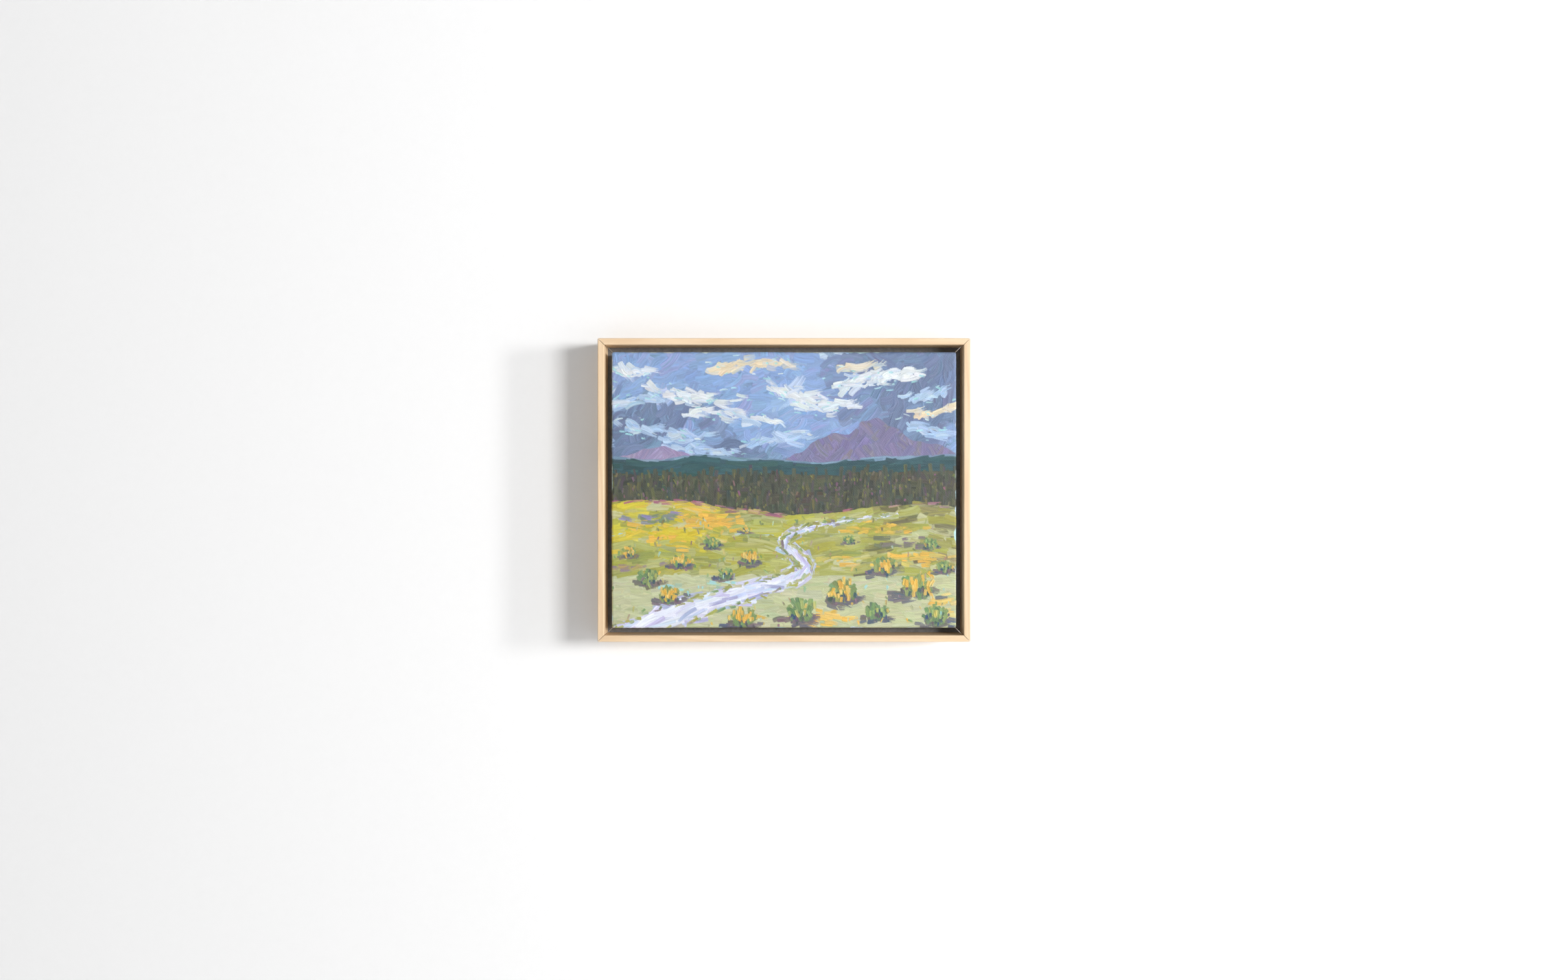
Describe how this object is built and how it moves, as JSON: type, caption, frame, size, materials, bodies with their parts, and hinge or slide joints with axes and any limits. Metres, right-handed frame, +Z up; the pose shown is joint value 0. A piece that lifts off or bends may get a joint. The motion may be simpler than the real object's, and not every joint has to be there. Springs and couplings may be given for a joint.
{
  "type": "stretched canvas",
  "caption": "Painted cloth on keyed wooden stretcher bars, screwed into a shallow mitred float frame with strap hangers on its back.",
  "frame": {"origin": "on the floor under the middle of the frame, halfway through its whole depth with the hangers and bumpers", "axes": "+Z up, the painted face looks along -Y, +X to the right of someone looking at the painting"},
  "size_m": [0.2742, 0.0364, 0.2234],
  "materials": {
    "maple": "sanded maple, clear satin, with a charcoal painted ledge inside",
    "pine": "planed, bare",
    "beech": "sawn, bare",
    "primed_cotton": "primed plain weave, painted thickly in front",
    "staple_steel": "bright",
    "zinc_plate": "zinc plated",
    "nickel_plate": "nickel plated",
    "black_rubber": "matt"
  },
  "bodies": {
    "framed_canvas": {"bumper_left": "black_rubber", "bumper_right": "black_rubber", "canvas_cloth": "primed_cotton", "flange_screw_bottom": "zinc_plate", "flange_screw_left": "zinc_plate", "flange_screw_right": "zinc_plate", "flange_screw_top": "zinc_plate", "frame_rail_bottom": "maple", "frame_rail_left": "maple", "frame_rail_right": "maple", "frame_rail_top": "maple", "hanger_strap_left": "nickel_plate", "hanger_strap_right": "nickel_plate", "staple_bottom_1": "staple_steel", "staple_bottom_2": "staple_steel", "staple_bottom_3": "staple_steel", "staple_bottom_4": "staple_steel", "staple_bottom_5": "staple_steel", "staple_bottom_6": "staple_steel", "staple_left_1": "staple_steel", "staple_left_2": "staple_steel", "staple_left_3": "staple_steel", "staple_left_4": "staple_steel", "staple_right_1": "staple_steel", "staple_right_2": "staple_steel", "staple_right_3": "staple_steel", "staple_right_4": "staple_steel", "staple_top_1": "staple_steel", "staple_top_2": "staple_steel", "staple_top_3": "staple_steel", "staple_top_4": "staple_steel", "staple_top_5": "staple_steel", "staple_top_6": "staple_steel", "strap_screw_left": "zinc_plate", "strap_screw_right": "zinc_plate", "stretcher_bar_bottom": "pine", "stretcher_bar_left": "pine", "stretcher_bar_right": "pine", "stretcher_bar_top": "pine", "v_nail_bottom_left": "staple_steel", "v_nail_bottom_right": "staple_steel", "v_nail_top_left": "staple_steel", "v_nail_top_right": "staple_steel"},
    "key_bottom_left_level": {"corner_key_bottom_left_level": "beech"},
    "key_bottom_left_upright": {"corner_key_bottom_left_upright": "beech"},
    "key_bottom_right_level": {"corner_key_bottom_right_level": "beech"},
    "key_bottom_right_upright": {"corner_key_bottom_right_upright": "beech"},
    "key_top_left_level": {"corner_key_top_left_level": "beech"},
    "key_top_left_upright": {"corner_key_top_left_upright": "beech"},
    "key_top_right_level": {"corner_key_top_right_level": "beech"},
    "key_top_right_upright": {"corner_key_top_right_upright": "beech"},
    "ring_left": {"hanger_ring_left": "nickel_plate"},
    "ring_right": {"hanger_ring_right": "nickel_plate"}
  },
  "joints": [
    {"name": "ring_left_swing", "type": "hinge", "parent": "framed_canvas", "child": "ring_left", "pos_m": [-0.1261, 0.01603, 0.15], "axis": [1, 0, 0], "range_deg": [0, 180]},
    {"name": "ring_right_swing", "type": "hinge", "parent": "framed_canvas", "child": "ring_right", "pos_m": [0.1261, 0.01603, 0.15], "axis": [1, 0, 0], "range_deg": [0, 180]},
    {"name": "key_bottom_left_level_slide", "type": "slide", "parent": "framed_canvas", "child": "key_bottom_left_level", "axis": [1, 0, 0], "range_m": [0, 0.012]},
    {"name": "key_bottom_left_upright_slide", "type": "slide", "parent": "framed_canvas", "child": "key_bottom_left_upright", "axis": [0, 0, 1], "range_m": [0, 0.012]},
    {"name": "key_bottom_right_level_slide", "type": "slide", "parent": "framed_canvas", "child": "key_bottom_right_level", "axis": [-1, 0, 0], "range_m": [0, 0.012]},
    {"name": "key_bottom_right_upright_slide", "type": "slide", "parent": "framed_canvas", "child": "key_bottom_right_upright", "axis": [0, 0, 1], "range_m": [0, 0.012]},
    {"name": "key_top_left_level_slide", "type": "slide", "parent": "framed_canvas", "child": "key_top_left_level", "axis": [1, 0, 0], "range_m": [0, 0.012]},
    {"name": "key_top_left_upright_slide", "type": "slide", "parent": "framed_canvas", "child": "key_top_left_upright", "axis": [0, 0, -1], "range_m": [0, 0.012]},
    {"name": "key_top_right_level_slide", "type": "slide", "parent": "framed_canvas", "child": "key_top_right_level", "axis": [-1, 0, 0], "range_m": [0, 0.012]},
    {"name": "key_top_right_upright_slide", "type": "slide", "parent": "framed_canvas", "child": "key_top_right_upright", "axis": [0, 0, -1], "range_m": [0, 0.012]}
  ]
}
